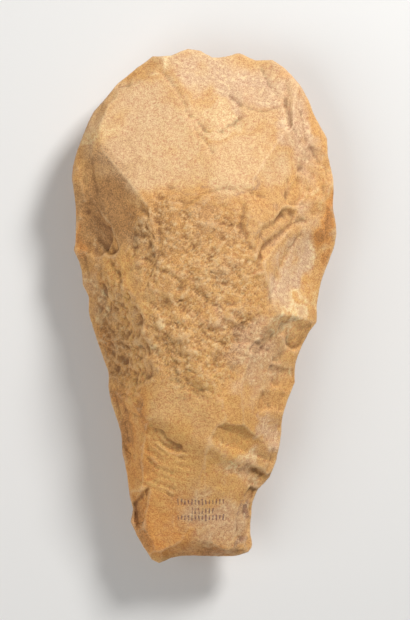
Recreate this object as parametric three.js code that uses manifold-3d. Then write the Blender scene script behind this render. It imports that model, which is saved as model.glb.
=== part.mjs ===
import * as THREE from "three";
import { mergeVertices } from "three/addons/utils/BufferGeometryUtils.js";
import Module from "manifold-3d";

// A hand axe of quartzite, knapped on both faces, lying on its plainer face.
// +Y points to the broad end, -Y to the snapped tip, and z = 0 is the surface it lies on.
// All sizes are in millimetres.

// Driving dimensions
const length = 180;
const breadth = 93;
const upperSwell = 27; // crown above the edge line
const lowerSwell = 17.8; // belly below the edge line, before it is worn flat
const restWear = 0.8; // worn off the belly where the stone rests
const edgeBluntness = 1.8; // thickness of the worn edge
const grain = 5; // width of the facets that make up a flake's bed
const edgeHeight = lowerSwell - restWear; // of the edge line above the resting spot

// The stone's edge, clockwise from the left of the broad end. A corner is a cusp left between two
// flakes: across and along, in hundredths of the breadth and the length from the middle, then the
// swell of the edge on to the next corner, in hundredths of their distance. A hollow is negative.
const broadEnd = [
  [-37.6, 40.2, 5], [-32.7, 43.3, 1], [-19.2, 48.6, -9], [-6.2, 50, 10], [3, 48.3, -8],
  [12.8, 49.4, 2], [19.5, 47.9, 3], [25.6, 47.9, 7], [39.1, 40.4, -3],
];
const rightFlank = [
  [46.1, 32.5, -2], [46.6, 29.5, 1], [48.9, 23.6, 2], [48.5, 19.1, 3], [50, 15.4, 7],
  [46.8, 8.8, -6], [42.3, -3, -4], [34.6, -10.5, -5], [34.4, -14.7, -3],
];
const rightNeck = [
  [29.3, -21.9, 1], [28.4, -27.1, 2], [24.7, -33.3, -14], [17.7, -41, -5],
];
const snappedTip = [
  [18.3, -46.8, 5], [16.4, -47.9, 2], [9.6, -48.8, -2], [-8.1, -48.5, -4], [-17.1, -50, 6],
];
const leftNeck = [
  [-20.1, -49.2, 2], [-27.6, -42, -9], [-28, -36.9, -2], [-31.1, -27.9, -8], [-32.7, -22.3, 2],
  [-35.9, -16.6, -4], [-36.1, -12.5, 1],
];
const leftFlank = [
  [-43.9, -1.1, -14], [-45.7, 4.2, -9], [-49.1, 10.8, -5], [-50, 24.8, 5], [-44.4, 34.6, 8],
];
const corners = [...broadEnd, ...rightFlank, ...rightNeck, ...snappedTip, ...leftNeck, ...leftFlank];

// Flake scars. from: where the bed starts, on or near the edge. to: how far inward it is followed.
// Both are across and along, as above, and a height above the edge line in hundredths of the face's
// swell. dish: how deep the bed is hollowed between the two, in hundredths of the length. round: the
// radius of the bed across its run, in hundredths of the length. A scar with a width broke off in a
// step where it ends, and is that wide, in hundredths of the length.
const upperScars = [
  // Broad end, left to right
  { from: [-24, 44.7, 13], to: [-11, 20, 84], dish: 0.5, round: 220 },
  { from: [-21, 47.8, 0], to: [-17, 45.4, 20], dish: 0.2, round: 28 },
  { from: [13.5, 47.8, 1], to: [7.4, 23.5, 83], dish: 0.6, round: 160 },
  { from: [20.3, 48.4, -3], to: [20.8, 37.8, 31], dish: 0.7, round: 14 },
  // Right flank, from the broad end down
  { from: [41.4, 37, 3], to: [32.7, 35.3, 38], dish: 0.3, round: 33 },
  { from: [48, 26, 8], to: [22, 22.5, 70], dish: 0.6, round: 33 },
  { from: [49.2, 16.3, 8], to: [27, 17.7, 66], dish: 0.6, round: 28 },
  { from: [43.4, 3.2, 5], to: [26.2, 1.4, 70], dish: 1.2, round: 18 },
  { from: [41.6, -4, 5], to: [30.2, -4.6, 72], dish: 0.6, round: 8 },
  { from: [39.3, -5.6, 4], to: [32.5, -3.5, 46], dish: 0.3, round: 6 },
  { from: [35, -11, 8], to: [19.8, -9.6, 82], dish: 0.8, round: 14 },
  { from: [34.6, -13.6, 2], to: [28.5, -14, 46], dish: 0.3, round: 4.5 },
  { from: [30.8, -19.2, 8], to: [14.3, -19.2, 76], dish: 0.8, round: 20 },
  { from: [29, -24.5, 5], to: [17.3, -23.7, 54], dish: 0.4, round: 14 },
  { from: [28, -30.6, 5], to: [5.6, -25.8, 68], dish: 0.7, round: 4 },
  { from: [24, -34.2, 6], to: [9, -28.4, 60], dish: 0.6, round: 11 },
  { from: [20.3, -36.1, 2], to: [13.5, -33.4, 40], dish: 0.3, round: 9 },
  // Tip
  { from: [18, -41.5, 0], to: [14.7, -41.5, 22], dish: 0.1, round: 6 },
  { from: [16.5, -42.5, 12], to: [0.4, -37.7, 50], dish: 0.3, round: 67 },
  { from: [2.3, -46.4, 28], to: [0.4, -33.8, 60], dish: 0.1, round: 160 },
  { from: [-24.8, -45, 16], to: [-5.3, -38.6, 46], dish: 0.4, round: 50 },
  { from: [5, -49.4, -14], to: [4.2, -46.4, 32], dish: 0, round: 7, width: 13 },
  // Left flank, from the tip up
  { from: [-26.3, -35.7, 28], to: [-5.3, -26, 71], dish: 0.6, round: 33 },
  { from: [-30.8, -29, 8], to: [-20.5, -29, 60], dish: 0.4, round: 22 },
  { from: [-22, -26, 64], to: [-9, -12.5, 91], dish: 0.2, round: 60 },
  { from: [-35.3, -16.7, 8], to: [-20.3, -18.3, 74], dish: 0.5, round: 11 },
  { from: [-40.2, -8.2, 8], to: [-24.5, -10.8, 78], dish: 0.6, round: 12 },
  { from: [-44.4, 1.2, 6], to: [-31, 0.4, 62], dish: 0.7, round: 12 },
  { from: [-48, 9.9, 6], to: [-31, 7.5, 60], dish: 0.9, round: 16 },
  { from: [-50, 20.6, 10], to: [-20.3, 22.5, 87], dish: 0.5, round: 90 },
  // The crown, weathered round
  { from: [0, -22, 91], to: [0, 20, 91], dish: -0.9, round: -45 },
];
// The lower face, as it looks when the stone is turned over about its long axis
const lowerScars = [
  { from: [-10, 49, 12], to: [-4, 17, 90], dish: 0.8, round: 45 },
  { from: [25, 46, 12], to: [10, 18, 92], dish: 0.7, round: 30 },
  { from: [-40, 37, 14], to: [-12, 14, 92], dish: 0.8, round: 34 },
  { from: [49, 21, 12], to: [6, 17, 94], dish: 1.2, round: 24 },
  { from: [-49, 15, 12], to: [-10, 11, 95], dish: 1, round: 38 },
  { from: [46, 5, 12], to: [10, 3, 97], dish: 1.2, round: 17 },
  { from: [-43.5, -3, 14], to: [-8, -5, 93], dish: 1.3, round: 22 },
  { from: [35, -12, 12], to: [2, -8, 95], dish: 1, round: 24 },
  { from: [-36, -18, 12], to: [-12, -16, 86], dish: 0.6, round: 15 },
  { from: [28, -29, 14], to: [2, -21, 92], dish: 0.8, round: 18 },
  { from: [-28, -36, 16], to: [-4, -26, 84], dish: 0.8, round: 26 },
  { from: [6, -48, 34], to: [3, -31, 82], dish: 0.4, round: 40 },
];
const scarRun = 80; // how far a scar that feathers out can go, in hundredths of the length
const scarWidth = 60; // of its block
const scarLead = 14; // how far its block starts outside the edge
const stepLead = 4; // the same for a scar that broke off in a step
const ceiling = 2 * upperSwell; // top of every block, clear of the stone

// Retouch: one small flake on each face between every two corners
const retouchReach = 4.5; // inward from the edge
const retouchClimb = 5.2; // over that reach
const retouchDish = 1.1;
const retouchStart = 0.3; // above the edge line
const retouchSpread = 1.6; // how much the start of one differs from the next
const retouchTurn = 2.4; // radians from one to the next, for that difference
const retouchRound = 0.8; // radius across the run, as a share of the distance between the corners
const retouchWidth = 1.4; // of its block, as a share of the same
const retouchCells = 3; // at least, in that distance

const rings = 9; // from the edge to the crown
const upperRoundness = 1.75; // of the unflaked blank: 2 is an ellipse, less is more peaked
const lowerRoundness = 2.1;

const wasm = await Module();
wasm.setup();

function place(across, along) {
  return new THREE.Vector2(across * breadth / 100, along * length / 100);
}

// The edge line with its cusps and the shallow curves between them
function edgeLine() {
  const points = [];
  corners.forEach(([across, along, swell], index) => {
    const next = corners[(index + 1) % corners.length];
    const start = place(across, along);
    const chord = place(next[0], next[1]).sub(start);
    const outward = new THREE.Vector2(-chord.y, chord.x);
    const steps = Math.max(1, Math.round(chord.length() / grain));
    for (let step = 0; step < steps; step += 1) {
      const share = step / steps;
      const bulge = 4 * share * (1 - share) * swell / 100;
      points.push(start.clone().addScaledVector(chord, share).addScaledVector(outward, bulge));
    }
  });
  return points;
}

function solidOf(geometry) {
  geometry.deleteAttribute("normal");
  geometry.deleteAttribute("uv");
  const merged = mergeVertices(geometry);
  return new wasm.Manifold(new wasm.Mesh({
    numProp: 3,
    vertProperties: Float32Array.from(merged.attributes.position.array),
    triVerts: Uint32Array.from(merged.index.array),
  }));
}

// The stone before it was flaked: a ball pressed into the edge line, its two faces swollen apart
function blank() {
  const edge = edgeLine();
  const rows = 2 * rings + 1;
  const ball = new THREE.SphereGeometry(1, edge.length, rows);
  for (let row = 0; row <= rows; row += 1) {
    const upper = row <= rings;
    const ring = upper ? row : rows - row;
    const angle = (1 - ring / rings) * Math.PI / 2;
    const power = 2 / (upper ? upperRoundness : lowerRoundness);
    const spread = Math.cos(angle) ** power;
    const rise = Math.sin(angle) ** power;
    const swell = upper ? upperSwell : -lowerSwell;
    const height = Math.sign(swell) * edgeBluntness / 2 * (1 - rise) + swell * rise;
    for (let column = 0; column <= edge.length; column += 1) {
      const point = edge[(edge.length - column) % edge.length];
      const index = row * (edge.length + 1) + column;
      ball.attributes.position.setXYZ(index, point.x * spread, point.y * spread, height);
    }
  }
  return solidOf(ball);
}

// The block of stone that one blow took off: its underside is the scar's bed. low and high are the
// bed's heights at start and end, cell is the width of its facets.
function flake({ start, end, low, high, dish, round, width, lead, run, cell }) {
  const path = end.clone().sub(start);
  const reach = path.length();
  const block = new THREE.BoxGeometry(
    run + lead, width, 2, Math.ceil((run + lead) / cell), Math.ceil(width / cell), 1);
  const position = block.attributes.position;
  for (let index = 0; index < position.count; index += 1) {
    const along = position.getX(index) + (run - lead) / 2;
    const across = position.getY(index);
    const share = along / reach;
    const inside = THREE.MathUtils.clamp(share, 0, 1);
    const hollow = 4 * dish * (inside * (1 - inside) + Math.min(share, 0) + Math.min(1 - share, 0));
    const bed = low + (high - low) * share - hollow + across ** 2 / (2 * round);
    const top = position.getZ(index) > 0;
    position.setXYZ(index, along, across, top ? ceiling : Math.min(bed, ceiling - 1));
  }
  block.rotateZ(path.angle());
  block.translate(start.x, start.y, 0);
  return block;
}

function scar({ from, to, dish, round, width }, swell) {
  const start = place(from[0], from[1]);
  const end = place(to[0], to[1]);
  const size = length / 100;
  return flake({
    start,
    end,
    low: from[2] / 100 * swell,
    high: to[2] / 100 * swell,
    dish: dish * size,
    round: round * size,
    width: (width ?? scarWidth) * size,
    lead: (width ? stepLead : scarLead) * size,
    run: width ? start.distanceTo(end) : scarRun * size,
    cell: grain,
  });
}

// The small flake between a corner and the next. side is 1 on the upper face; on the lower face,
// seen turned over about the long axis, it is -1.
function retouch(index, side) {
  const [across, along, swell] = corners[index];
  const next = corners[(index + 1) % corners.length];
  const chord = place(next[0], next[1]).sub(place(across, along));
  const inward = new THREE.Vector2(chord.y, -chord.x).normalize();
  const start = place(across, along).addScaledVector(chord, 0.5);
  start.addScaledVector(inward, -swell / 100 * chord.length());
  const end = start.clone().addScaledVector(inward, retouchReach);
  start.x *= side;
  end.x *= side;
  const low = retouchStart + retouchSpread * Math.abs(Math.sin(retouchTurn * index + side));
  return flake({
    start,
    end,
    low,
    high: low + retouchClimb,
    dish: retouchDish,
    round: retouchRound * chord.length(),
    width: retouchWidth * chord.length(),
    lead: retouchReach,
    run: 2 * retouchReach,
    cell: Math.min(grain, chord.length() / retouchCells),
  });
}

let knapped = blank();
for (const each of upperScars) {
  knapped = knapped.subtract(solidOf(scar(each, upperSwell)));
}
for (const each of lowerScars) {
  knapped = knapped.subtract(solidOf(scar(each, lowerSwell).rotateY(Math.PI)));
}
corners.forEach((corner, index) => {
  knapped = knapped.subtract(solidOf(retouch(index, 1)));
  knapped = knapped.subtract(solidOf(retouch(index, -1).rotateY(Math.PI)));
});

// The resting spot: the belly worn flat
const table = new THREE.BoxGeometry(2 * breadth, 2 * length, length);
table.translate(0, 0, -edgeHeight - length / 2);
knapped = knapped.subtract(solidOf(table));

const mesh = knapped.getMesh();
const surface = new THREE.BufferGeometry();
surface.setAttribute("position", new THREE.BufferAttribute(mesh.vertProperties, 3));
surface.setIndex(new THREE.BufferAttribute(mesh.triVerts, 1));
surface.translate(0, 0, edgeHeight);
surface.computeVertexNormals();

const quartzite = new THREE.MeshStandardMaterial({ color: 0xb08a66, roughness: 0.75, metalness: 0 });
const handAxe = new THREE.Mesh(surface, quartzite);
handAxe.name = "hand_axe";

const part = new THREE.Group();
part.add(handAxe);

export default part;
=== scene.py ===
import math

import bmesh
import bpy
import numpy as np
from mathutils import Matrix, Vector, noise
from mathutils.bvhtree import BVHTree


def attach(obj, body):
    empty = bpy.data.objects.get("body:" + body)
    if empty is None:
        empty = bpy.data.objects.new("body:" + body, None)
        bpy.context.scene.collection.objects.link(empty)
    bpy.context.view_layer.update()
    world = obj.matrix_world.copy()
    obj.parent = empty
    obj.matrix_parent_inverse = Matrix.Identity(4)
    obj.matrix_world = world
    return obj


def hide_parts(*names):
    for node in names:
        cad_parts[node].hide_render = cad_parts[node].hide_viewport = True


# A knapped quartzite hand axe lying on its plainer face, seen from straight above.
# Metres throughout. Places on the worked face are given as they lie in the photograph's
# frame, 410 by 620, and turned into metres by one scale.
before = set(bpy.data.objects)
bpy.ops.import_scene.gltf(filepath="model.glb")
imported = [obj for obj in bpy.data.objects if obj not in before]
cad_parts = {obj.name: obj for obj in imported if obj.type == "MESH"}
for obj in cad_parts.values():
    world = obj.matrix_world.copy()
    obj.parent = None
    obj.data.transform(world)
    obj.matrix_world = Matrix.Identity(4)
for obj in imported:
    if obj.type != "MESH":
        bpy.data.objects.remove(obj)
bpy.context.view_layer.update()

photo = {
    "width": 410,
    "height": 620,
    "middle": (204.15, 306.15),  # middle of the stone's outline
    "scale": 0.00035,  # metres to a pixel at the edge line
}
edgeLevel = 0.017  # height of the edge line over the floor
perMetre = 1000  # millimetres in a metre


def fromPhoto(x, y):
    return ((x - photo["middle"][0]) * photo["scale"],
            (photo["middle"][1] - y) * photo["scale"])


# The stone's mesh

stone = {
    "voxel": 0.00066,  # size of the mesh's cells
    "polish": 50,  # passes that melt the CAD facets into smooth beds
    "arris": 17,  # a bend of more degrees than this stays crisp
    "swell": 0.00022,  # height of the slow unevenness of every bed
    "swellOnRind": 4,  # times as much more of it on the weathered rind
    "skin": 0.00014,  # height of the flaked beds' fine unevenness
    "grain": 0.00006,  # height of the finest relief
    "grainShare": (0.6, 0.9),  # of it on the beds, and what the rind adds
    "rind": 0.001,  # height of the weathered rind's pitting
    "lumps": 0.8,  # of the rind's height
    "crevices": 0.55,  # of the rind's height
    "creviceSlope": 5,  # more is narrower
    # Squeezes the crevices into the stone's layers
    "layers": [[0.8, 0.9, 0], [0.4, 1.7, 0], [0, 0, 1]],
    "drift": 0.0008,  # about how far a drawn line wanders
    "tintDrift": 0.009,  # the same for the rims of the tints
    "restingSpot": (0.0004, 0.002),  # heights between which the relief fades to leave it flat
}

# Each unevenness: the size of its lumps in metres, its seed and its number of octaves
unevenness = {
    "driftAcross": (0.006, 1, 3),
    "driftAlong": (0.006, 2, 3),
    "swell": (0.011, 3, 3),
    "lumps": (0.008, 4, 6),
    "crevices": (0.007, 5, 4),
    "grain": (0.0011, 6, 2),
    "skin": (0.004, 7, 5),
    "ripples": (0.005, 8, 2),
    "tintAcross": (0.01, 11, 6),
    "tintAlong": (0.01, 12, 6),
}
seedStride = (7.31, 3.17, 5.71)  # keeps the noises of two seeds apart


def denseCopy(node, size):
    source = bmesh.new()
    source.from_mesh(node.data)
    bmesh.ops.remove_doubles(source, verts=source.verts, dist=1e-6)
    mesh = bpy.data.meshes.new("quartziteStone")
    source.to_mesh(mesh)
    source.free()
    piece = bpy.data.objects.new("quartziteStone", mesh)
    bpy.context.scene.collection.objects.link(piece)
    remesh = piece.modifiers.new("cells", "REMESH")
    remesh.mode = "VOXEL"
    remesh.voxel_size = size
    remesh.adaptivity = 0
    graph = bpy.context.evaluated_depsgraph_get()
    dense = bpy.data.meshes.new_from_object(piece.evaluated_get(graph))
    piece.modifiers.clear()
    piece.data = dense
    bpy.data.meshes.remove(mesh)
    return piece


def readPoints(mesh):
    flat = np.empty(len(mesh.vertices) * 3)
    mesh.vertices.foreach_get("co", flat)
    return flat.reshape(-1, 3)


def writePoints(mesh, points):
    mesh.vertices.foreach_set("co", points.reshape(-1))
    mesh.update()


def readNormals(mesh):
    flat = np.empty(len(mesh.vertices) * 3)
    mesh.vertex_normals.foreach_get("vector", flat)
    return flat.reshape(-1, 3)


def neighbourPairs(mesh):
    flat = np.empty(len(mesh.edges) * 2, dtype=int)
    mesh.edges.foreach_get("vertices", flat)
    pairs = flat.reshape(-1, 2)
    return np.vstack((pairs, pairs[:, ::-1]))


# The mean of the values at each point. There is a row of values for every pair, and the first of
# the pair says whose it is.
def spreadMean(values, pairs, count):
    total = np.column_stack([np.bincount(pairs[:, 0], column, count) for column in values.T])
    return total / np.maximum(np.bincount(pairs[:, 0], minlength=count), 1)[:, None]


def unit(vectors):
    return vectors / np.maximum(np.linalg.norm(vectors, axis=1), 1e-12)[:, None]


# Puts every point back on the CAD node, so that the arrises are as sharp as the cells allow
def settle(mesh, node):
    source = bmesh.new()
    source.from_mesh(node.data)
    tree = BVHTree.FromBMesh(source)
    points = [tree.find_nearest(vertex.co)[0] for vertex in mesh.vertices]
    source.free()
    writePoints(mesh, np.array(points))


# Evens out each bed's facets and leaves the arrises between the beds sharp
def meltFacets(mesh, passes, arris):
    faces = len(mesh.polygons)
    corners = np.empty(len(mesh.loops), dtype=int)
    mesh.loops.foreach_get("vertex_index", corners)
    edges = np.empty(len(mesh.loops), dtype=int)
    mesh.loops.foreach_get("edge_index", edges)
    sizes = np.empty(faces, dtype=int)
    mesh.polygons.foreach_get("loop_total", sizes)
    owner = np.repeat(np.arange(faces), sizes)
    order = np.argsort(edges, kind="stable")
    sides = owner[order].reshape(-1, 2)
    beside = np.vstack((sides, sides[:, ::-1]))
    normals = np.empty(faces * 3)
    mesh.polygons.foreach_get("normal", normals)
    normals = normals.reshape(-1, 3)
    limit = math.cos(math.radians(arris))
    for turn in range(passes):
        likeness = np.einsum("ij,ij->i", normals[beside[:, 0]], normals[beside[:, 1]])
        weights = np.maximum(likeness - limit, 0) ** 2
        own = (1 - limit) ** 2
        pull = weights[:, None] * normals[beside[:, 1]]
        total = np.column_stack([np.bincount(beside[:, 0], axis, faces) for axis in pull.T])
        normals = unit(total + own * normals)
    points = readPoints(mesh)
    touching = np.column_stack((corners, owner))
    for turn in range(passes // 2):
        centres = spreadMean(points[corners], np.column_stack((owner, corners)), faces)
        gap = centres[owner] - points[corners]
        step = normals[owner] * np.einsum("ij,ij->i", normals[owner], gap)[:, None]
        points = points + spreadMean(step, touching, len(points))
    writePoints(mesh, points)


# How far each point stands above (+) or below (-) the surface around it
def relief(mesh, passes):
    pairs = neighbourPairs(mesh)
    count = len(mesh.vertices)
    points = readPoints(mesh)
    soft = points.copy()
    for turn in range(passes):
        soft = spreadMean(soft[pairs[:, 1]], pairs, count)
    return np.einsum("ij,ij->i", points - soft, readNormals(mesh))


def noiseAt(points, name):
    size, seed, octaves = unevenness[name]
    offset = Vector([seed * stride for stride in seedStride])
    return np.array([noise.fractal(Vector(point) / size + offset, 1, 2, octaves)
                     for point in points])


def softStep(values, low, high):
    share = np.clip((values - low) / (high - low), 0, 1)
    return share * share * (3 - 2 * share)


edgeBlend = 0.001  # how far above and below the edge line the worked face begins
facingUp = (0.1, 0.5)  # heights of the normal between which a crack begins to bite


def aboveEdge(points, blend):
    return softStep(points[:, 2], edgeLevel - blend, edgeLevel + blend)


# Distance to a line on the worked face
def lineReach(places, line):
    best = np.full(len(places), 1e9)
    corners = [np.array(fromPhoto(*corner)) for corner in line]
    for start, end in zip(corners, corners[1:]):
        run = end - start
        away = places - start
        share = np.clip(away @ run / (run @ run), 0, 1)
        offset = away - share[:, None] * run
        best = np.minimum(best, np.hypot(offset[:, 0], offset[:, 1]))
    return best


# What a patch is where its row doesn't say: not turned, soft at its rim and laid in full
plainPatch = {"turn": 0, "soft": 0.8, "share": 1}
rimSpread = 0.4  # how far a patch fades past its rim, as a share of its softness


# A patch on the worked face: its full share in its middle, 0 outside its rim
def patchShare(places, row):
    patch = {**plainPatch, **row}
    middle = np.array(fromPhoto(*patch["at"]))
    turn = math.radians(patch["turn"])
    away = places - middle
    along = away[:, 0] * math.cos(turn) + away[:, 1] * math.sin(turn)
    across = away[:, 1] * math.cos(turn) - away[:, 0] * math.sin(turn)
    wide, tall = (half * photo["scale"] for half in patch["half"])
    distance = np.hypot(along / wide, across / tall)
    soft = patch["soft"]
    return patch["share"] * (1 - softStep(distance, 1 - soft, 1 + soft * rimSpread))


# Small flake scars on the worked face, from where the blow fell to where the bed comes out.
# wide: half their width, dish: how hollow they are, both in millimetres.
chips = [
    # Broad end: lens, rims
    {"from": (216, 86), "to": (216, 133), "wide": 9, "dish": 0.45},
    {"from": (112, 82), "to": (176, 64), "wide": 3, "dish": 0.5},
    {"from": (284, 78), "to": (290, 138), "wide": 1.6, "dish": 0.5},
    {"from": (306, 118), "to": (300, 158), "wide": 2.2, "dish": 0.5},
    {"from": (322, 146), "to": (300, 140), "wide": 4, "dish": 0.5},
    {"from": (330, 172), "to": (300, 160), "wide": 5, "dish": 0.6},
    # Upper right: the beds inside the rim and the keystone
    {"from": (330, 196), "to": (310, 180), "wide": 3.5, "dish": 0.45},
    {"from": (306, 180), "to": (288, 204), "wide": 3, "dish": 0.6},
    {"from": (332, 214), "to": (306, 206), "wide": 3.4, "dish": 0.4},
    # The cup: hollows on both sides of a lobe that stands proud
    {"from": (234, 206), "to": (243, 252), "wide": 2.4, "dish": 0.5},
    {"from": (292, 212), "to": (254, 260), "wide": 2.8, "dish": 0.6},
    # Right flank
    {"from": (314, 318), "to": (284, 338), "wide": 6, "dish": 0.4},
    {"from": (284, 312), "to": (276, 360), "wide": 1.8, "dish": 0.35},
    {"from": (298, 380), "to": (268, 376), "wide": 4, "dish": 0.8},
    {"from": (288, 402), "to": (258, 400), "wide": 3.4, "dish": 0.6},
    # Left flank
    {"from": (72, 226), "to": (106, 246), "wide": 5, "dish": 0.8},
    {"from": (84, 204), "to": (114, 252), "wide": 3, "dish": 0.45},
    {"from": (104, 318), "to": (112, 262), "wide": 2.8, "dish": 0.9},
    {"from": (92, 316), "to": (103, 272), "wide": 1.6, "dish": 0.6},
    {"from": (84, 150), "to": (98, 222), "wide": 3, "dish": 0.4},
    {"from": (124, 332), "to": (160, 352), "wide": 3.6, "dish": 0.8},
    {"from": (118, 376), "to": (136, 408), "wide": 3.4, "dish": 0.7},
    {"from": (126, 416), "to": (178, 446), "wide": 2.2, "dish": 0.7},
    {"from": (132, 432), "to": (140, 472), "wide": 3.6, "dish": 0.3, "skew": 0},
    # Middle: steps in the weathered front
    {"from": (176, 376), "to": (160, 344), "wide": 3, "dish": 0.6},
    {"from": (214, 206), "to": (168, 202), "wide": 3, "dish": 0.5},
    {"from": (262, 202), "to": (226, 200), "wide": 2.4, "dish": 0.4},
    {"from": (268, 352), "to": (232, 336), "wide": 3, "dish": 0.5},
    {"from": (226, 384), "to": (250, 362), "wide": 4, "dish": 0.5},
    # Neck, right: the two valleys and the bright rib between them
    {"from": (264, 484), "to": (218, 450), "wide": 3, "dish": 0.35},
    {"from": (254, 488), "to": (240, 536), "wide": 2.4, "dish": 0.6},
    # Tip, left corner
    {"from": (130, 526), "to": (158, 492), "wide": 4, "dish": 0.3},
]

# What every blow has in common
blow = {
    "skew": 0.25,  # how lopsided its bed is, unless its row says otherwise
    "deepest": 0.0012,  # metres that it bites at most
    "steepest": 0.25,  # height of the normal on the steepest skin that its bed follows
    "fade": (0.1, 0.3),  # heights of the normal between which it sets in
}

# Hackly dents that broke the rind up, thrown over it at random: each size is drawn from its range
hackles = {
    "count": 300,
    "seed": 17,
    "reach": (3, 13),  # their length, in millimetres like the next two
    "wide": (1.2, 5),
    "dish": (0.15, 0.65),
    "skew": (0.2, 1),
    "leastRind": 0.3,  # they fall only where there is more rind than this
}

# Fine cracks: lines with their depth and width in millimetres
cracks = [
    # Between the broad end's smooth beds and the weathered middle
    {"line": [(158, 199), (172, 203), (190, 204), (205, 196), (222, 191), (242, 193),
              (264, 199)], "deep": 0.5, "width": 0.9},
    # Across the broad end
    {"line": [(160, 70), (178, 90), (192, 124), (212, 155)], "deep": 0.45, "width": 1.1},
    {"line": [(192, 116), (208, 133), (224, 131), (240, 119)], "deep": 0.35, "width": 0.9},
    {"line": [(230, 96), (250, 111), (266, 112), (284, 107)], "deep": 0.4, "width": 0.8},
    {"line": [(262, 66), (268, 84), (283, 104)], "deep": 0.3, "width": 0.9},
    # Around the lobe, and the fold beside it
    {"line": [(242, 208), (243, 234), (248, 248), (254, 250), (262, 234), (270, 226),
              (284, 219)], "deep": 0.8, "width": 1.1},
    {"line": [(256, 270), (262, 252), (272, 240), (284, 230), (302, 222)],
     "deep": 0.7, "width": 1.0},
    {"line": [(298, 236), (285, 254), (277, 270), (272, 292), (268, 312)],
     "deep": 0.45, "width": 0.9},
    {"line": [(286, 182), (285, 204), (304, 206), (308, 190)], "deep": 0.4, "width": 0.8},
    {"line": [(284, 100), (290, 124), (299, 142)], "deep": 0.4, "width": 0.8},
    {"line": [(300, 112), (306, 140), (322, 168)], "deep": 0.4, "width": 0.8},
    {"line": [(324, 186), (329, 210), (326, 236)], "deep": 0.4, "width": 0.9},
    # Right flank
    {"line": [(280, 318), (276, 336), (274, 352)], "deep": 0.35, "width": 1.1},
    {"line": [(288, 314), (286, 344), (291, 364)], "deep": 0.25, "width": 0.9},
    {"line": [(250, 318), (240, 326), (226, 331), (214, 328)], "deep": 0.35, "width": 0.8},
    {"line": [(238, 340), (252, 341), (266, 350)], "deep": 0.35, "width": 0.7},
    # Left flank
    {"line": [(86, 212), (97, 221), (105, 233), (114, 252)], "deep": 0.6, "width": 1.0},
    {"line": [(88, 138), (94, 170), (98, 216)], "deep": 0.2, "width": 0.8},
    {"line": [(100, 268), (101, 286), (105, 304)], "deep": 0.6, "width": 0.9},
    {"line": [(111, 262), (119, 276), (123, 298)], "deep": 0.6, "width": 0.9},
    {"line": [(160, 224), (162, 248), (156, 268)], "deep": 0.4, "width": 0.9},
    {"line": [(147, 344), (150, 360), (152, 374)], "deep": 0.6, "width": 1.0},
    # Neck and tip
    {"line": [(126, 411), (145, 417), (165, 433), (182, 447)], "deep": 0.5, "width": 1.1},
    {"line": [(145, 432), (149, 452), (150, 470)], "deep": 0.25, "width": 0.9},
    {"line": [(212, 432), (228, 437), (245, 446), (272, 459)], "deep": 0.25, "width": 1.1},
]

# Rings left in a flake's bed by its blow
ripples = {
    "from": (191, 406),  # where they spread from
    "first": (36, 40),  # pixels from there between which they come in
    "last": (92, 98),  # and between which they fade out
    "pitch": 7.6,  # pixels from ring to ring
    "height": 0.16,  # millimetres
    "sink": 0.3,  # how far they lie below the bed, as a share of their height
    "patchy": (0.5, 1.4),  # their even share, and what the unevenness adds or takes
    "patch": {"at": (164, 462), "half": (28, 50), "turn": -16, "soft": 0.4},
}

# Low swellings left standing, with their height in millimetres
swellings = [
    {"at": (238, 449), "half": (36, 16), "turn": -22, "height": 1.1},
    {"at": (250, 228), "half": (10, 16), "height": 0.5},
    {"at": (152, 336), "half": (14, 10), "turn": -35, "height": 0.6},
    {"at": (228, 328), "half": (22, 12), "turn": 10, "height": 0.5},
    {"at": (188, 262), "half": (20, 14), "turn": 30, "height": 0.4},
]

# Weathered rind: rough and pitted, in the middle of the worked face
rindPatches = [
    {"at": (203, 300), "half": (62, 104), "turn": -6, "soft": 0.35},
    {"at": (170, 245), "half": (44, 50), "soft": 0.4},
    {"at": (120, 330), "half": (24, 70), "turn": 10, "soft": 0.5, "share": 0.8},
]


# Takes one small flake off: whatever stands above its bed comes down to it. The bed is a hollow
# in the skin's own slope, deepest towards the end of its run.
def strike(points, surface, normals, drifted, start, end, chip):
    run = end - start
    reach = np.hypot(*run)
    middle = (start + end) / 2
    distance = np.hypot(*(drifted - middle).T) + (surface[:, 2] < edgeLevel - edgeBlend)
    spot = np.argmin(distance)
    near = np.flatnonzero(distance < reach + 2 * chip["wide"] / perMetre)
    away = drifted[near] - middle
    along = 2 * away @ run / reach ** 2
    across = (run[0] * away[:, 1] - run[1] * away[:, 0]) / reach / chip["wide"] * perMetre
    slope = -normals[spot, :2] / max(normals[spot, 2], blow["steepest"])
    skin = surface[spot, 2] + (drifted[near] - drifted[spot]) @ slope
    skew = chip.get("skew", blow["skew"])
    hollow = 1 + skew * np.clip(along, -1, 1) - (1 + abs(skew)) * along ** 4 - across ** 4
    bed = skin - chip["dish"] / perMetre * hollow
    over = np.clip((points[near, 2] - bed) * normals[near, 2], 0, blow["deepest"])
    over *= softStep(hollow, -1, 0) * softStep(normals[near, 2], *blow["fade"])
    points[near] -= normals[near] * over[:, None]


def hackle(points, normals, drifted, rind):
    chance = np.random.default_rng(hackles["seed"])
    spots = np.flatnonzero(rind > hackles["leastRind"])
    surface = points.copy()  # every dent hangs from this skin, so overlapping ones don't pile up
    for turn in range(hackles["count"]):
        spot = chance.choice(spots)
        size = {key: chance.uniform(*hackles[key]) for key in ("wide", "dish", "skew")}
        size["dish"] *= rind[spot]
        angle = chance.uniform(0, 2 * math.pi)
        heading = np.array((math.cos(angle), math.sin(angle)))
        run = chance.uniform(*hackles["reach"]) / perMetre * heading
        start = points[spot, :2] - run / 2
        strike(points, surface, normals, drifted, start, start + run, size)


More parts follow.
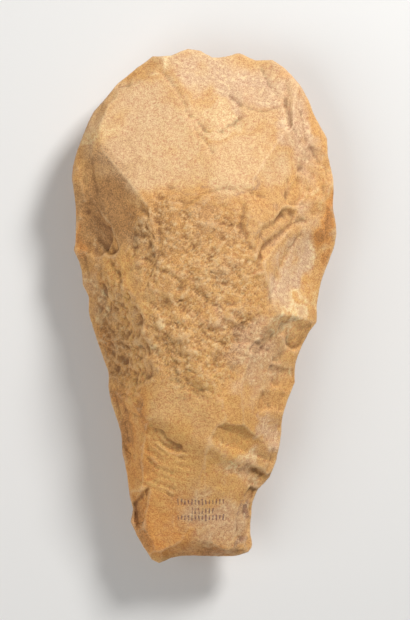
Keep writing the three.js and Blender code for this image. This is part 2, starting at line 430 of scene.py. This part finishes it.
def carve(mesh):
    points = readPoints(mesh)
    wander = np.column_stack((noiseAt(points, "driftAcross"), noiseAt(points, "driftAlong")))
    drifted = points[:, :2] + wander * stone["drift"]
    normals = readNormals(mesh)
    for chip in chips:
        start = np.array(fromPhoto(*chip["from"]))
        strike(points, points, normals, drifted, start, np.array(fromPhoto(*chip["to"])), chip)
    rind = np.zeros(len(points))
    for patch in rindPatches:
        rind = np.maximum(rind, patchShare(drifted, patch))
    rind *= points[:, 2] > edgeLevel + 2 * edgeBlend
    hackle(points, normals, drifted, rind)
    writePoints(mesh, points)
    normals = readNormals(mesh)
    upper = aboveEdge(points, edgeBlend)
    facing = softStep(normals[:, 2], *facingUp)
    height = stone["swell"] * (1 + stone["swellOnRind"] * rind) * noiseAt(points, "swell")
    layers = points @ np.array(stone["layers"])
    folds = 1 - stone["creviceSlope"] * np.abs(noiseAt(layers, "crevices"))
    pitting = stone["lumps"] * noiseAt(points, "lumps")
    pitting -= stone["crevices"] * np.maximum(folds, 0) ** 2
    height += stone["rind"] * rind * pitting
    height += stone["skin"] * (1 - rind) * noiseAt(points, "skin")
    onBeds, onRind = stone["grainShare"]
    height += stone["grain"] * (onBeds + onRind * rind) * noiseAt(points, "grain")
    for swelling in swellings:
        height += swelling["height"] / perMetre * patchShare(drifted, swelling) * upper
    for crack in cracks:
        distance = lineReach(drifted, crack["line"])
        groove = crack["deep"] * np.exp(-(distance * perMetre / crack["width"]) ** 2)
        height -= groove / perMetre * upper * facing
    centre = np.array(fromPhoto(*ripples["from"]))
    radius = np.hypot(*(drifted - centre).T) / photo["scale"]
    inside = softStep(radius, *ripples["first"]) * (1 - softStep(radius, *ripples["last"])) \
        * patchShare(points[:, :2], ripples["patch"])
    even, uneven = ripples["patchy"]
    wave = np.sin(2 * math.pi * radius / ripples["pitch"])
    wave *= even + uneven * noiseAt(points, "ripples")
    height += ripples["height"] / perMetre * (wave - ripples["sink"]) * inside * upper
    rest = softStep(points[:, 2], *stone["restingSpot"])
    writePoints(mesh, points + normals * (height * rest)[:, None])
    return rind


def paint(mesh, name, values):
    layer = mesh.attributes.new(name, "FLOAT", "POINT")
    layer.data.foreach_set("value", values.astype(np.float32))


# Where each tint of the stone lies on the worked face; some of them are painted shade and painted
# highlights
tintPatches = {
    "cream": [
        {"at": (150, 140), "half": (62, 66), "soft": 0.4},
        {"at": (225, 75), "half": (78, 34), "turn": -10, "soft": 0.5},
        {"at": (218, 117), "half": (26, 17), "soft": 0.3},
        {"at": (264, 118), "half": (30, 24), "soft": 0.7, "share": 0.8},
        {"at": (240, 165), "half": (52, 38), "soft": 0.6},
        {"at": (294, 268), "half": (22, 58), "turn": -18, "soft": 0.6, "share": 0.9},
        {"at": (180, 405), "half": (38, 26), "turn": 10, "soft": 0.9, "share": 0.45},
        {"at": (284, 334), "half": (16, 30), "share": 0.8},
    ],
    "rose": [
        {"at": (225, 78), "half": (70, 22), "turn": -12, "soft": 0.7},
        {"at": (300, 130), "half": (20, 55), "turn": 16, "soft": 0.7},
        {"at": (296, 266), "half": (20, 60), "turn": -18, "soft": 0.7},
        {"at": (271, 430), "half": (13, 20), "soft": 0.6},
        {"at": (240, 466), "half": (22, 14), "turn": -20, "soft": 0.7},
        {"at": (140, 132), "half": (48, 56), "share": 0.35},
        {"at": (262, 98), "half": (32, 18)},
        {"at": (96, 242), "half": (8, 30), "turn": 18, "soft": 0.9, "share": 0.8},
        {"at": (100, 288), "half": (8, 24), "soft": 0.9, "share": 0.8},
        {"at": (225, 316), "half": (20, 10), "turn": -10, "soft": 0.9, "share": 0.5},
        {"at": (255, 362), "half": (26, 36)},
        {"at": (212, 520), "half": (42, 34), "soft": 0.7, "share": 0.75},
        {"at": (248, 515), "half": (8, 26), "soft": 0.6},
    ],
    # Painted shade: a darker brown on the flanks and facets that face away from the light, partly
    # the stone's own brown
    "umberAndShade": [
        {"at": (100, 215), "half": (36, 72), "turn": -14, "soft": 0.5, "share": 0.85},
        {"at": (104, 324), "half": (20, 80), "turn": 12, "soft": 0.6, "share": 0.5},
        {"at": (168, 226), "half": (44, 26), "soft": 0.9, "share": 0.3},
        {"at": (338, 230), "half": (8, 46), "soft": 0.6, "share": 0.9},
        {"at": (213, 553), "half": (42, 7), "soft": 0.5, "share": 0.75},
        {"at": (249, 520), "half": (7, 30), "soft": 0.6},
        {"at": (136, 528), "half": (14, 34), "share": 0.6},
        {"at": (70, 266), "half": (14, 48), "soft": 0.7},
        {"at": (118, 410), "half": (10, 56), "turn": 14, "share": 0.9},
    ],
    "ochre": [
        {"at": (205, 300), "half": (66, 110), "soft": 0.6},
        {"at": (250, 165), "half": (44, 40), "soft": 0.9},
        {"at": (170, 415), "half": (52, 40), "turn": 20, "soft": 0.7},
    ],
    "amber": [
        {"at": (166, 455), "half": (38, 60)},
        {"at": (226, 468), "half": (32, 40), "share": 0.6},
        {"at": (138, 396), "half": (18, 60), "turn": 12, "share": 0.8},
        {"at": (126, 296), "half": (20, 56), "turn": 8},
        {"at": (92, 256), "half": (14, 60), "turn": 8, "share": 0.6},
        {"at": (262, 370), "half": (26, 40), "share": 0.4},
        {"at": (240, 432), "half": (30, 20), "turn": 20},
        {"at": (292, 330), "half": (18, 26), "share": 0.8},
        {"at": (308, 292), "half": (8, 20), "turn": -12, "share": 0.4},
        {"at": (176, 520), "half": (30, 30), "share": 0.4},
        {"at": (206, 384), "half": (50, 40), "soft": 0.9, "share": 0.6},
    ],
    "plum": [  # purple-grey mineral stains
        {"at": (204, 195), "half": (9, 4), "soft": 0.9, "share": 0.8},
        {"at": (240, 194), "half": (8, 4), "soft": 0.9, "share": 0.8},
        {"at": (259, 198), "half": (5, 9), "soft": 0.9, "share": 0.7},
        {"at": (248, 516), "half": (7, 28), "soft": 0.9, "share": 0.8},
        {"at": (214, 230), "half": (24, 12), "soft": 0.9, "share": 0.25},
        {"at": (234, 352), "half": (26, 12), "turn": 20, "soft": 0.9, "share": 0.3},
        {"at": (136, 232), "half": (12, 12), "soft": 0.9, "share": 0.35},
        {"at": (272, 234), "half": (14, 5), "turn": -40, "soft": 0.9, "share": 0.5},
        {"at": (222, 278), "half": (16, 12), "soft": 0.9, "share": 0.3},
    ],
    # Painted highlights: bright spots and lines where light catches rims, ribs and grains; the
    # patch on the lens is a paler tone of the stone
    "paleToneAndHighlight": [
        {"at": (91, 136), "half": (9, 5), "turn": 35, "soft": 0.9, "share": 0.6},
        {"at": (314, 250), "half": (5, 15)},
        {"at": (104, 309), "half": (4, 8)},
        {"at": (154, 342), "half": (11, 8), "turn": -40},
        {"at": (276, 330), "half": (3, 14), "turn": -8},
        {"at": (292, 309), "half": (24, 5), "turn": 15},
        {"at": (218, 115), "half": (27, 17), "soft": 0.5, "share": 0.3},
        {"at": (322, 192), "half": (3, 12), "soft": 0.9, "share": 0.6},
        {"at": (240, 460), "half": (26, 4), "turn": -34, "soft": 0.9, "share": 0.7},
        {"at": (286, 372), "half": (6, 10)},
        {"at": (166, 65), "half": (13, 4)},
    ],
    "rust": [
        {"at": (160, 525), "half": (40, 40), "soft": 0.6},
        {"at": (338, 226), "half": (12, 50), "soft": 0.6},
        {"at": (134, 440), "half": (16, 70), "turn": 10, "soft": 0.7},
        {"at": (134, 462), "half": (17, 56), "turn": 6, "soft": 0.6},
        {"at": (213, 553), "half": (42, 7), "soft": 0.5},
        {"at": (290, 82), "half": (22, 9), "turn": -35},
        {"at": (66, 238), "half": (10, 62), "turn": 4, "share": 0.8},
        {"at": (88, 322), "half": (9, 50), "turn": 20, "share": 0.8},
        {"at": (112, 396), "half": (10, 56), "turn": 14, "share": 0.8},
        {"at": (124, 288), "half": (8, 40), "turn": 6, "soft": 0.9, "share": 0.5},
        {"at": (216, 316), "half": (10, 7), "soft": 0.9, "share": 0.5},
    ],
}


# Where dirt and painted shade sit in the hollows and where pale wear and painted highlights show
# on the arrises, from how far a point stands below or above its surroundings
shading = {
    "passes": {"fine": 3, "broad": 24},  # how wide the surroundings are
    # Depths or heights between which it sets in, and its strength
    "creviceDirtAndShade": {"fine": (0.00002, 0.00016, 0.6), "broad": (0.0001, 0.0008, 0.6)},
    "arris": {"fine": (0.00003, 0.00018, 0.6), "broad": (0.0002, 0.0009, 0.5)},
}


def shadeShare(heights, limits):
    return sum(softStep(heights[key], low, high) * strength
               for key, (low, high, strength) in limits.items())


def dress(mesh, rind):
    points = readPoints(mesh)
    upper = aboveEdge(points, 2 * edgeBlend)
    wander = np.column_stack((noiseAt(points, "tintAcross"), noiseAt(points, "tintAlong")))
    drifted = points[:, :2] + wander * stone["tintDrift"]
    for tint, patches in tintPatches.items():
        share = np.zeros(len(points))
        for patch in patches:
            share = np.maximum(share, patchShare(drifted, patch))
        paint(mesh, tint, share * upper)
    heights = {key: relief(mesh, passes) for key, passes in shading["passes"].items()}
    depths = {key: -height for key, height in heights.items()}
    # Hollows get dirt and painted shade, raised edges pale wear and painted highlights
    paint(mesh, "creviceDirtAndShade", shadeShare(depths, shading["creviceDirtAndShade"]))
    paint(mesh, "arris", shadeShare(heights, shading["arris"]))
    paint(mesh, "rind", rind)


# Materials

def linear(red, green, blue):
    channels = []
    for channel in (red, green, blue):
        share = channel / 255
        channels.append(share / 12.92 if share < 0.04045 else ((share + 0.055) / 1.055) ** 2.4)
    return (*channels, 1)


tints = {
    "body": (207, 156, 98),
    "cream": (219, 178, 131),
    "rose": (207, 167, 134),
    # darker brown, partly painted shade
    "umberAndShade": (160, 112, 64),
    "ochre": (208, 152, 88),
    "rust": (210, 134, 58),
    "amber": (224, 165, 92),
    "plum": (136, 104, 92),
    # painted highlight colour, also the lens's paler tone
    "paleToneAndHighlight": (250, 222, 168),
    # dirt and painted shade in the hollows
    "soilAndShade": (118, 76, 42),
    "stain": (92, 66, 50),
    # pale wear and painted highlights on the arrises
    "arris": (246, 218, 172),
    "ink": (88, 56, 70),
}


# Each noise of the colour and the bump: scale, detail and roughness
noises = {
    "fine": (2300, 2, 0.7),
    "coarse": (800, 4, 0.7),
    "clouds": (60, 4, 0.6),
    "blotches": (190, 5, 0.62),
    "paintedSparkle": (620, 3, 0.7),
    "spots": (330, 4, 0.7),
    "worn": (900, 3, 0.55),
    "crumbs": (420, 6, 0.72),
}

# How colour, gloss and bump are laid. A range holds the values between which a noise sets in.
look = {
    "grain": (0.65, 0.35),  # of the fine noise and the coarse in the speckle; the bump swaps them
    "cloudRange": (0.35, 0.65),
    "strengths": {"ochre": 0.6, "rust": 0.85, "cream": 0.9, "rose": 0.8, "umberAndShade": 0.8,
                  "amber": 0.85, "plum": 0.7, "paleToneAndHighlight": 0.6},  # laid in this order
    "blotchRange": (0.2, 0.7),
    "blotchy": 0.75,  # a tint's share where the blotches leave it weakest
    "speckle": 0.4,
    "speckleRange": (0.34, 0.64),
    # painted sparkle of light on the grains
    "paintedSparkle": 0.55,
    "paintedSparkleOnRind": 0.7,
    "paintedSparkleRange": (0.53, 0.63),
    "spotsOnRind": 0.5,
    "spots": 0.08,  # dark mineral spots everywhere
    "spotRange": (0.6, 0.72),
    # darkens the hollows: dirt and painted shade
    "dirtAndShade": 0.62,
    # lightens the arrises: pale wear and painted highlights
    "wearAndHighlight": 0.26,
    "roughness": (0.78, 0.5),  # of the dull grains and the shiny ones
    "glossRange": (0.35, 0.7),
    "wornGloss": 0.12,  # taken off the roughness on the arrises
    "specular": 0.4,
    "bump": 0.8,
    "bumpDepth": 0.0005,
    "crumbs": 1.8,  # how much coarser the bump is on the rind
}

inkRows = {
    "tall": 0.0023,
    "pitch": 0.0012,
    "thick": 0.21,  # half a stroke, as a share of the pitch
    "lean": 0.7,
    "stem": (0.32, 0.2),  # half a stroke's least height and what chance adds, as shares of a row
    "fade": 0.72,  # how dark the ink still is
    "wornRange": (0.35, 0.6),
    "wornLeast": 0.35,  # what is left of it where it is worn most
    "rows": [  # across from, to and along, in the photograph's frame
        {"from": 176, "to": 226, "at": 499},
        {"from": 192, "to": 214, "at": 508},
        {"from": 178, "to": 226, "at": 515},
    ],
}


def newGroup(name, inputs, outputs):
    group = bpy.data.node_groups.new(name, "ShaderNodeTree")
    for label, kind, value in inputs:
        socket = group.interface.new_socket(label, in_out="INPUT", socket_type=kind)
        if value is not None:
            socket.default_value = value
    for label, kind in outputs:
        group.interface.new_socket(label, in_out="OUTPUT", socket_type=kind)
    return group, group.nodes.new("NodeGroupInput"), group.nodes.new("NodeGroupOutput")


def addNode(tree, kind, **settings):
    node = tree.nodes.new(kind)
    for key, value in settings.items():
        setattr(node, key, value)
    return node


def mathNode(tree, operation, first, second=None, third=None, clamp=False):
    node = addNode(tree, "ShaderNodeMath", operation=operation, use_clamp=clamp)
    for slot, value in enumerate((first, second, third)):
        if value is None:
            continue
        if isinstance(value, (int, float)):
            node.inputs[slot].default_value = value
        else:
            tree.links.new(value, node.inputs[slot])
    return node.outputs[0]


def mixColour(tree, share, first, second, blend="MIX"):
    node = addNode(tree, "ShaderNodeMix", data_type="RGBA", blend_type=blend)
    for label, value in (("Factor", share), ("A", first), ("B", second)):
        socket = next(each for each in node.inputs if each.name == label and each.enabled)
        if isinstance(value, (int, float, tuple)):
            socket.default_value = value
        else:
            tree.links.new(value, socket)
    return next(each for each in node.outputs if each.enabled)


def setSockets(node, values):
    for label, value in values.items():
        node.inputs[label].default_value = value


def noiseNode(tree, vector, name):
    node = addNode(tree, "ShaderNodeTexNoise")
    tree.links.new(vector, node.inputs["Vector"])
    setSockets(node, dict(zip(("Scale", "Detail", "Roughness"), noises[name])))
    return node.outputs["Fac"]


def rangeNode(tree, value, limits, ends=(0, 1)):
    node = addNode(tree, "ShaderNodeMapRange", interpolation_type="SMOOTHSTEP")
    tree.links.new(value, node.inputs["Value"])
    setSockets(node, dict(zip(("From Min", "From Max", "To Min", "To Max"), (*limits, *ends))))
    return node.outputs[0]


def attribute(tree, name):
    return addNode(tree, "ShaderNodeAttribute", attribute_name=name).outputs["Fac"]


# Sugary grain of quartzite: a speckle for the colour and a height for the bump
def grainGroup():
    group, entry, leave = newGroup(
        "quartziteGrain",
        [("Vector", "NodeSocketVector", None), ("Size", "NodeSocketFloat", 1.0)],
        [("Speckle", "NodeSocketFloat"), ("Height", "NodeSocketFloat")])
    scaled = addNode(group, "ShaderNodeVectorMath", operation="SCALE")
    group.links.new(entry.outputs["Vector"], scaled.inputs[0])
    group.links.new(entry.outputs["Size"], scaled.inputs["Scale"])
    vector = scaled.outputs[0]
    fine = noiseNode(group, vector, "fine")
    coarse = noiseNode(group, vector, "coarse")
    more, less = look["grain"]
    for output, ofFine, ofCoarse in (("Speckle", more, less), ("Height", less, more)):
        blend = mathNode(group, "ADD", mathNode(group, "MULTIPLY", fine, ofFine),
                         mathNode(group, "MULTIPLY", coarse, ofCoarse))
        group.links.new(blend, leave.inputs[output])
    return group


# One row of short ink strokes that aren't letters, across the worked face
def inkRowGroup():
    group, entry, leave = newGroup(
        "inkRow",
        [("Vector", "NodeSocketVector", None), ("Middle", "NodeSocketFloat", 0.0),
         ("Start", "NodeSocketFloat", 0.0), ("End", "NodeSocketFloat", 0.01),
         ("Tall", "NodeSocketFloat", 0.002), ("Pitch", "NodeSocketFloat", 0.0018),
         ("Seed", "NodeSocketFloat", 0.0)],
        [("Mask", "NodeSocketFloat")])
    split = addNode(group, "ShaderNodeSeparateXYZ")
    group.links.new(entry.outputs["Vector"], split.inputs[0])
    east, north, high = split.outputs
    cell = mathNode(group, "FLOOR", mathNode(group, "DIVIDE", east, entry.outputs["Pitch"]))
    inCell = mathNode(group, "FRACT", mathNode(group, "DIVIDE", east, entry.outputs["Pitch"]))
    chance = addNode(group, "ShaderNodeTexWhiteNoise", noise_dimensions="2D")
    key = addNode(group, "ShaderNodeCombineXYZ")
    group.links.new(cell, key.inputs[0])
    group.links.new(entry.outputs["Seed"], key.inputs[1])
    group.links.new(key.outputs[0], chance.inputs["Vector"])
    pick = addNode(group, "ShaderNodeSeparateColor")
    group.links.new(chance.outputs["Color"], pick.inputs[0])
    offset = mathNode(group, "DIVIDE", mathNode(group, "SUBTRACT", north, entry.outputs["Middle"]),
                      entry.outputs["Tall"])
    lean = mathNode(group, "MULTIPLY", mathNode(group, "SUBTRACT", pick.outputs[0], 0.5),
                    inkRows["lean"])
    stemAt = mathNode(group, "ADD", mathNode(group, "MULTIPLY", lean, offset), 0.5)
    aside = mathNode(group, "ABSOLUTE", mathNode(group, "SUBTRACT", inCell, stemAt))
    stem = mathNode(group, "LESS_THAN", aside, inkRows["thick"])
    least, extra = inkRows["stem"]
    reach = mathNode(group, "ADD", mathNode(group, "MULTIPLY", pick.outputs[1], extra), least)
    stemTall = mathNode(group, "LESS_THAN", mathNode(group, "ABSOLUTE", offset), reach)
    marks = mathNode(group, "MULTIPLY", stem, stemTall)
    within = mathNode(group, "MULTIPLY",
                      mathNode(group, "GREATER_THAN", east, entry.outputs["Start"]),
                      mathNode(group, "LESS_THAN", east, entry.outputs["End"]))
    top = mathNode(group, "GREATER_THAN", high, edgeLevel)
    mask = mathNode(group, "MULTIPLY", mathNode(group, "MULTIPLY", marks, within), top)
    group.links.new(mask, leave.inputs["Mask"])
    return group


def quartzite():
    material = bpy.data.materials.new("quartzite")
    material.use_nodes = True
    tree = material.node_tree
    shader = tree.nodes["Principled BSDF"]
    place = addNode(tree, "ShaderNodeTexCoord").outputs["Object"]

    clouds = noiseNode(tree, place, "clouds")
    blotches = noiseNode(tree, place, "blotches")
    colour = mixColour(tree, rangeNode(tree, clouds, look["cloudRange"]), linear(*tints["body"]),
                       linear(*tints["ochre"]))
    for tint, strength in look["strengths"].items():
        weak = strength * look["blotchy"]
        uneven = rangeNode(tree, blotches, look["blotchRange"], (weak, strength))
        share = mathNode(tree, "MULTIPLY", attribute(tree, tint), uneven, clamp=True)
        colour = mixColour(tree, share, colour, linear(*tints[tint]))

    grain = addNode(tree, "ShaderNodeGroup", node_tree=grainGroup())
    tree.links.new(place, grain.inputs["Vector"])
    speckle = grain.outputs["Speckle"]
    colour = mixColour(tree, look["speckle"], colour,
                       rangeNode(tree, speckle, look["speckleRange"]), "OVERLAY")

    # Painted sparkle: specks of the highlight colour on the rose patches and the rind, standing in
    # for glints of light on the grains
    onRind = mathNode(tree, "MULTIPLY", attribute(tree, "rind"), look["paintedSparkleOnRind"])
    sparkling = mathNode(tree, "MAXIMUM", attribute(tree, "rose"), onRind)
    sparks = rangeNode(tree, noiseNode(tree, place, "paintedSparkle"), look["paintedSparkleRange"],
                       (0, look["paintedSparkle"]))
    paintedSparkle = mathNode(tree, "MULTIPLY", sparkling, sparks)
    colour = mixColour(tree, paintedSparkle, colour, linear(*tints["paleToneAndHighlight"]))

    # Dark mineral spots in the rind, dirt and painted shade in the crevices, pale wear and painted
    # highlights on the arrises
    spotted = mathNode(tree, "MULTIPLY_ADD", attribute(tree, "rind"), look["spotsOnRind"],
                       look["spots"])
    spots = rangeNode(tree, noiseNode(tree, place, "spots"), look["spotRange"])
    colour = mixColour(tree, mathNode(tree, "MULTIPLY", spots, spotted), colour,
                       linear(*tints["stain"]))
    dirtAndShade = mathNode(tree, "MULTIPLY", attribute(tree, "creviceDirtAndShade"), look["dirtAndShade"], clamp=True)
    colour = mixColour(tree, dirtAndShade, colour, linear(*tints["soilAndShade"]))
    wearAndHighlight = mathNode(tree, "MULTIPLY", attribute(tree, "arris"), look["wearAndHighlight"], clamp=True)
    colour = mixColour(tree, wearAndHighlight, colour, linear(*tints["arris"]))

    rowGroup = inkRowGroup()
    marks = None
    for index, row in enumerate(inkRows["rows"]):
        strokes = addNode(tree, "ShaderNodeGroup", node_tree=rowGroup)
        tree.links.new(place, strokes.inputs["Vector"])
        start, middle = fromPhoto(row["from"], row["at"])
        end = fromPhoto(row["to"], row["at"])[0]
        setSockets(strokes, {"Middle": middle, "Start": start, "End": end, "Seed": index + 1,
                             "Tall": inkRows["tall"], "Pitch": inkRows["pitch"]})
        marks = strokes.outputs["Mask"] if marks is None else \
            mathNode(tree, "MAXIMUM", marks, strokes.outputs["Mask"])
    worn = rangeNode(tree, noiseNode(tree, place, "worn"), inkRows["wornRange"],
                     (inkRows["wornLeast"], 1))
    ink = mathNode(tree, "MULTIPLY", mathNode(tree, "MULTIPLY", marks, worn), inkRows["fade"])
    colour = mixColour(tree, ink, colour, linear(*tints["ink"]))
    tree.links.new(colour, shader.inputs["Base Color"])

    sheen = rangeNode(tree, speckle, look["glossRange"], look["roughness"])
    roughness = mathNode(tree, "MULTIPLY_ADD", attribute(tree, "arris"), -look["wornGloss"], sheen,
                         clamp=True)
    tree.links.new(roughness, shader.inputs["Roughness"])
    shader.inputs["Specular IOR Level"].default_value = look["specular"]

    bump = addNode(tree, "ShaderNodeBump")
    setSockets(bump, {"Strength": look["bump"], "Distance": look["bumpDepth"]})
    crumbs = mathNode(tree, "MULTIPLY", noiseNode(tree, place, "crumbs"), attribute(tree, "rind"))
    tree.links.new(mathNode(tree, "MULTIPLY_ADD", crumbs, look["crumbs"], grain.outputs["Height"]),
                   bump.inputs["Height"])
    tree.links.new(bump.outputs["Normal"], shader.inputs["Normal"])
    return material


# The piece

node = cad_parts["hand_axe"]
piece = denseCopy(node, stone["voxel"])
print("dense copy", len(piece.data.vertices), "points", len(piece.data.polygons), "faces")
settle(piece.data, node)
meltFacets(piece.data, stone["polish"], stone["arris"])
print("beds smoothed")
rindShare = carve(piece.data)
print("relief carved")
dress(piece.data, rindShare)
print("tints laid")
piece.data.materials.clear()
piece.data.materials.append(quartzite())
for face in piece.data.polygons:
    face.use_smooth = True
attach(piece, "root")
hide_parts("hand_axe")

# Floor, light and camera

studio = {
    "floor": (0.78, 0.77, 0.75),
    "floorReach": 1.5,  # from its middle to its sides
    "floorRoughness": 0.9,
    "lamps": {  # place, size and power
        "key": ((0.42, 0.52, 0.56), 0.22, 7.2),
        "fill": ((-0.6, -0.3, 0.7), 0.9, 4.8),
    },
    "sky": 0.16,
    "lens": 135,
    "sensor": 36,
    "clipStart": 0.01,
}


def makeFloor():
    shape = bmesh.new()
    bmesh.ops.create_grid(shape, x_segments=1, y_segments=1, size=studio["floorReach"])
    mesh = bpy.data.meshes.new("floor")
    shape.to_mesh(mesh)
    shape.free()
    floor = bpy.data.objects.new("floor", mesh)
    bpy.context.scene.collection.objects.link(floor)
    paper = bpy.data.materials.new("floorPaper")
    paper.use_nodes = True
    coat = paper.node_tree.nodes["Principled BSDF"]
    coat.inputs["Base Color"].default_value = (*studio["floor"], 1)
    coat.inputs["Roughness"].default_value = studio["floorRoughness"]
    mesh.materials.append(paper)


def makeLamp(name, place, size, power):
    lamp = bpy.data.lights.new(name, "AREA")
    lamp.size = size
    lamp.energy = power
    holder = bpy.data.objects.new(name, lamp)
    holder.location = place
    aim = Vector((0, 0, edgeLevel)) - Vector(place)
    holder.rotation_euler = aim.to_track_quat("-Z", "Y").to_euler()
    bpy.context.scene.collection.objects.link(holder)


def makeCamera():
    lens = bpy.data.cameras.new("camera")
    lens.lens = studio["lens"]
    lens.sensor_fit = "VERTICAL"
    lens.sensor_height = studio["sensor"]
    lens.clip_start = studio["clipStart"]
    camera = bpy.data.objects.new("camera", lens)
    tall = photo["height"] * photo["scale"]
    across, along = fromPhoto(photo["width"] / 2, photo["height"] / 2)
    camera.location = (across, along, edgeLevel + tall * lens.lens / lens.sensor_height)
    bpy.context.scene.collection.objects.link(camera)
    bpy.context.scene.camera = camera


makeFloor()
for name, (place, size, power) in studio["lamps"].items():
    makeLamp(name, place, size, power)
makeCamera()
world = bpy.data.worlds.new("softRoom")
world.use_nodes = True
setSockets(world.node_tree.nodes["Background"], {"Color": (1, 1, 1, 1), "Strength": studio["sky"]})
bpy.context.scene.world = world
bpy.context.scene.view_settings.view_transform = "Standard"
print("studio ready")
